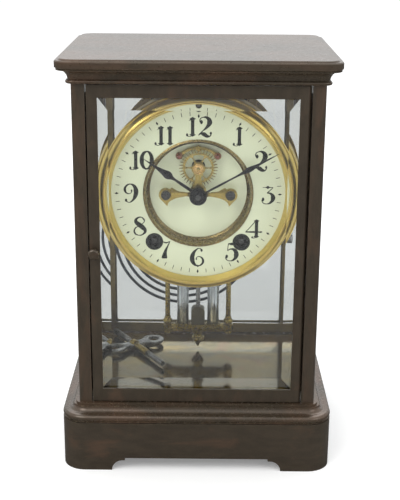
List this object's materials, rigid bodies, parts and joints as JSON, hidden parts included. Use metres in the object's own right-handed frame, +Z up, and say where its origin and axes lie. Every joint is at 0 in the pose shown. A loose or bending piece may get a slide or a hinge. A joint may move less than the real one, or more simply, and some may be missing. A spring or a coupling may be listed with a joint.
{
  "type": "mantel clock",
  "caption": "Four-glass bronze mantel clock with a visible escapement, enamel dial, twin-jar pendulum, coil gong and hinged glazed doors.",
  "frame": {"origin": "middle of the footprint, on the surface that the feet stand on", "axes": "+Z up, the dial faces -Y, +X to the right as seen from the front"},
  "size_m": [0.1624, 0.1388, 0.2468],
  "materials": {
    "case_bronze": "dark brown patina, worn bright at the edges",
    "bevelled_glass": "clear, polished",
    "enamel": "cream enamel",
    "dark_pan": "black lacquer",
    "polished_brass": "polished, lacquered",
    "floor_brass": "mottled, mirror polished",
    "blued_steel": "dark blued steel",
    "bright_steel": "ground steel",
    "gong_steel": "blue-grey steel",
    "black_iron": "black iron",
    "jewel": "polished red-brown jewel",
    "mercury": "liquid mirror"
  },
  "bodies": {
    "case": {"back_plate": "polished_brass", "base_moulding": "case_bronze", "bezel": "polished_brass", "cap": "case_bronze", "cornice": "case_bronze", "dial_centre": "enamel", "dial_pan": "dark_pan", "dial_ring": "enamel", "escape_bridge": "polished_brass", "floor_plate": "floor_brass", "front_plate": "polished_brass", "gong": "gong_steel", "gong_stand": "black_iron", "mainsprings": "bright_steel", "movement_hanger": "bright_steel", "movement_screws": "bright_steel", "pillar_screws": "bright_steel", "pillars": "case_bronze", "plate_pillars": "polished_brass", "plinth": "case_bronze", "recess_ring": "polished_brass", "side_frame_left": "case_bronze", "side_frame_right": "case_bronze", "side_glass_left": "bevelled_glass", "side_glass_right": "bevelled_glass", "spring_clicks": "polished_brass", "suspension_cock": "polished_brass", "winding_grommets": "dark_pan"},
    "front_door": {"front_door_frame": "case_bronze", "front_door_glass": "bevelled_glass"},
    "front_knob": {"front_door_knob": "case_bronze"},
    "back_door": {"back_door_frame": "case_bronze", "back_door_glass": "bevelled_glass"},
    "back_knob": {"back_door_knob": "case_bronze"},
    "minute_arbor": {"centre_arbor": "bright_steel", "minute_hand": "blued_steel", "hand_collet": "blued_steel"},
    "hour_wheel": {"hour_wheel": "polished_brass", "hour_hand": "blued_steel"},
    "minute_wheel": {"minute_wheel": "polished_brass"},
    "intermediate_wheel": {"intermediate_wheel": "polished_brass"},
    "time_barrel": {"time_barrel": "polished_brass"},
    "third_wheel": {"third_wheel": "polished_brass"},
    "escape_wheel": {"escape_wheel": "polished_brass"},
    "strike_wheel": {"strike_wheel": "polished_brass"},
    "strike_barrel": {"strike_barrel": "polished_brass"},
    "fly": {"fly": "polished_brass"},
    "time_winder": {"time_winding_arbor": "bright_steel"},
    "strike_winder": {"strike_winding_arbor": "bright_steel"},
    "regulator": {"regulator_arbor": "bright_steel"},
    "anchor": {"anchor": "polished_brass", "pallet_pins": "jewel"},
    "pendulum": {"pendulum_rod": "bright_steel", "pendulum_frame": "polished_brass", "rod_socket": "black_iron", "pendulum_jars": "bevelled_glass", "mercury": "mercury"},
    "rating_nut": {"rating_nut": "polished_brass"},
    "hammer": {"hammer": "bright_steel"},
    "key": {"winding_key": "bright_steel"}
  },
  "joints": [
    {"name": "front_door_hinge", "type": "hinge", "parent": "case", "child": "front_door", "pos_m": [0.0601, -0.0567, 0.1367], "axis": [0, 0, 1], "range_deg": [0, 100]},
    {"name": "front_knob_turn", "type": "hinge", "parent": "front_door", "child": "front_knob", "pos_m": [-0.0598, -0.059, 0.1352], "axis": [0, 1, 0], "range_deg": [0, 90]},
    {"name": "back_door_hinge", "type": "hinge", "parent": "case", "child": "back_door", "pos_m": [-0.0601, 0.0567, 0.1367], "axis": [0, 0, 1], "range_deg": [0, 100]},
    {"name": "back_knob_turn", "type": "hinge", "parent": "back_door", "child": "back_knob", "pos_m": [0.0598, 0.059, 0.1352], "axis": [0, 1, 0], "range_deg": [0, 90]},
    {"name": "minute_turn", "type": "hinge", "parent": "case", "child": "minute_arbor", "pos_m": [0, -0.03, 0.1666], "axis": [0, 1, 0], "continuous": true},
    {"name": "hour_turn", "type": "hinge", "parent": "case", "child": "hour_wheel", "pos_m": [0, -0.04, 0.1666], "axis": [0, 1, 0], "continuous": true},
    {"name": "minute_wheel_turn", "type": "hinge", "parent": "case", "child": "minute_wheel", "pos_m": [0, -0.03, 0.1546], "axis": [0, 1, 0], "continuous": true},
    {"name": "intermediate_turn", "type": "hinge", "parent": "case", "child": "intermediate_wheel", "pos_m": [0.0105, -0.002, 0.1546], "axis": [0, 1, 0], "continuous": true},
    {"name": "time_barrel_turn", "type": "hinge", "parent": "case", "child": "time_barrel", "pos_m": [0.0257, -0.007, 0.1373], "axis": [0, 1, 0], "continuous": true},
    {"name": "third_turn", "type": "hinge", "parent": "case", "child": "third_wheel", "pos_m": [-0.012, -0.0195, 0.1756], "axis": [0, 1, 0], "continuous": true},
    {"name": "escape_turn", "type": "hinge", "parent": "case", "child": "escape_wheel", "pos_m": [0, -0.0385, 0.1812], "axis": [0, 1, 0], "continuous": true},
    {"name": "strike_wheel_turn", "type": "hinge", "parent": "case", "child": "strike_wheel", "pos_m": [-0.0337, -0.002, 0.1589], "axis": [0, 1, 0], "continuous": true},
    {"name": "strike_barrel_turn", "type": "hinge", "parent": "case", "child": "strike_barrel", "pos_m": [-0.0257, -0.007, 0.1373], "axis": [0, 1, 0], "continuous": true},
    {"name": "fly_turn", "type": "hinge", "parent": "case", "child": "fly", "pos_m": [-0.0286, -0.011, 0.1716], "axis": [0, 1, 0], "continuous": true},
    {"name": "time_winding", "type": "hinge", "parent": "case", "child": "time_winder", "pos_m": [0.0257, -0.035, 0.1373], "axis": [0, 1, 0], "continuous": true},
    {"name": "strike_winding", "type": "hinge", "parent": "case", "child": "strike_winder", "pos_m": [-0.0257, -0.035, 0.1373], "axis": [0, 1, 0], "continuous": true},
    {"name": "regulator_turn", "type": "hinge", "parent": "case", "child": "regulator", "pos_m": [0, -0.04, 0.2164], "axis": [0, 1, 0], "range_deg": [-360, 360]},
    {"name": "pendulum_swing", "type": "hinge", "parent": "case", "child": "pendulum", "pos_m": [0, 0.025, 0.192], "axis": [0, 1, 0], "range_deg": [-3, 3]},
    {"name": "anchor_rock", "type": "hinge", "parent": "case", "child": "anchor", "pos_m": [0, -0.0365, 0.192], "axis": [0, 1, 0], "range_deg": [-3, 3]},
    {"name": "rating_turn", "type": "hinge", "parent": "pendulum", "child": "rating_nut", "pos_m": [0, 0.025, 0.05], "axis": [0, 0, 1], "continuous": true},
    {"name": "hammer_lift", "type": "hinge", "parent": "case", "child": "hammer", "pos_m": [0.04, 0.02, 0.149], "axis": [0, -1, 0], "range_deg": [0, 12]},
    {"name": "key_lift", "type": "slide", "parent": "case", "child": "key", "axis": [0, 0, 1], "range_m": [0, 0.004]}
  ],
  "couplings": [
    {"joint": "hour_turn", "follows": "minute_turn", "ratio": 0.083333},
    {"joint": "minute_wheel_turn", "follows": "minute_turn", "ratio": -0.33333},
    {"joint": "intermediate_turn", "follows": "minute_turn", "ratio": -0.1875},
    {"joint": "time_barrel_turn", "follows": "minute_turn", "ratio": 0.020833},
    {"joint": "third_turn", "follows": "minute_turn", "ratio": -9},
    {"joint": "escape_turn", "follows": "minute_turn", "ratio": 72},
    {"joint": "strike_barrel_turn", "follows": "strike_wheel_turn", "ratio": -0.11111},
    {"joint": "fly_turn", "follows": "strike_wheel_turn", "ratio": -9.1429},
    {"joint": "anchor_rock", "follows": "pendulum_swing", "ratio": 1}
  ]
}
